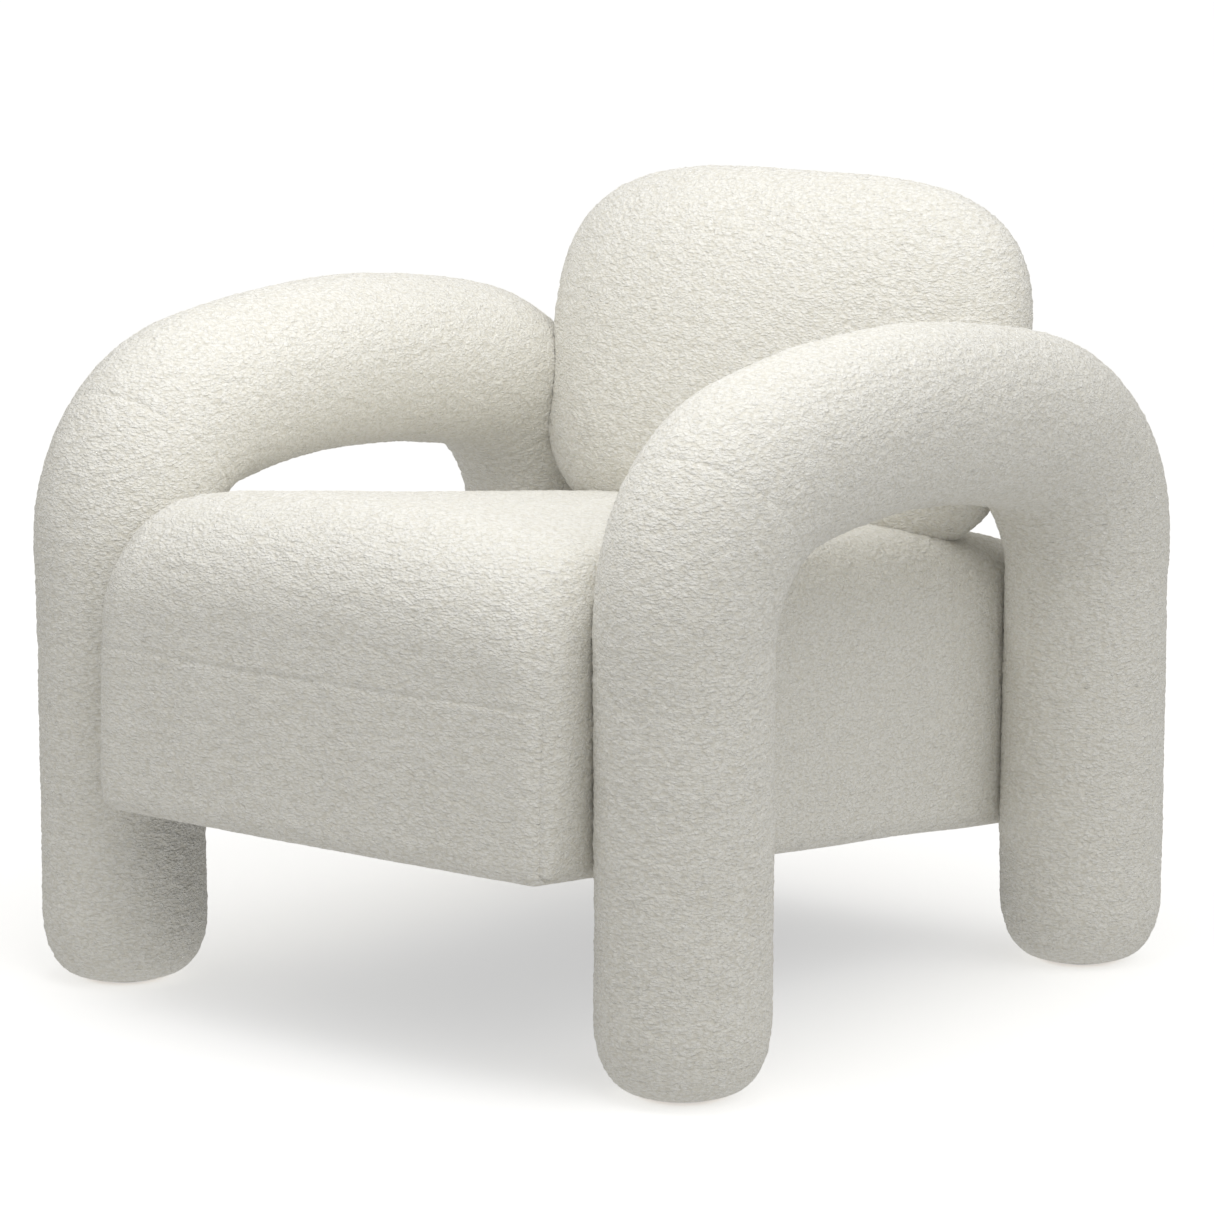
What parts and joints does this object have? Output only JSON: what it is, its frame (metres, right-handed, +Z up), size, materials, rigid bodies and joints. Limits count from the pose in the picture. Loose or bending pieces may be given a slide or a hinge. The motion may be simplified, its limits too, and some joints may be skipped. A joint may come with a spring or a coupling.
{
  "type": "upholstered armchair",
  "caption": "Low armchair: padded seat block between closed tubular arm hoops whose legs are thick rounded posts, with a plump leaning back cushion, all covered in boucle",
  "frame": {"origin": "on the floor under the middle of the chair's overall box", "axes": "+Z up, the chair faces -Y, +X is the sitter's left"},
  "size_m": [0.82, 0.81, 0.7339],
  "materials": {
    "boucle": "looped wool boucle, warm off-white, nubby and matt",
    "foam": "moulded polyurethane foam, fine open cells",
    "timber": "planed beech, unfinished",
    "plywood": "birch plywood, cut edges show the plies",
    "steel": "zinc plated, satin",
    "felt": "needled felt",
    "lining": "thin black non-woven cambric",
    "glide": "moulded nylon, matt"
  },
  "bodies": {
    "root": {"left_front_post": "timber", "left_rear_post": "timber", "left_arm_arch": "plywood", "left_front_leg_foam": "foam", "left_rear_leg_foam": "foam", "left_arm_foam": "foam", "left_front_leg_cover": "boucle", "left_rear_leg_cover": "boucle", "left_arm_cover": "boucle", "right_front_post": "timber", "right_rear_post": "timber", "right_arm_arch": "plywood", "right_front_leg_foam": "foam", "right_rear_leg_foam": "foam", "right_arm_foam": "foam", "right_front_leg_cover": "boucle", "right_rear_leg_cover": "boucle", "right_arm_cover": "boucle", "base_discs": "plywood", "glides": "glide", "glide_screws": "steel", "arch_dowels": "steel", "arm_bolts": "steel", "arm_bolt_washers": "steel", "arm_t_nuts": "steel", "seat_front_rail": "timber", "seat_rear_rail": "timber", "seat_left_rail": "timber", "seat_right_rail": "timber", "seat_spring_rail": "timber", "seat_corner_blocks": "timber", "corner_block_screws": "steel", "seat_springs": "steel", "spring_clips": "steel", "spring_pad": "felt", "rear_deck_board": "plywood", "seat_foam": "foam", "seat_cover": "boucle", "seat_front_cover": "boucle", "seat_rear_cover": "boucle", "dust_cover": "lining", "back_board": "plywood", "back_uprights": "steel", "back_front_foam": "foam", "back_rear_foam": "foam", "back_front_cover": "boucle", "back_rear_cover": "boucle", "back_board_bolts": "steel", "upright_bolts": "steel"}
  },
  "joints": []
}
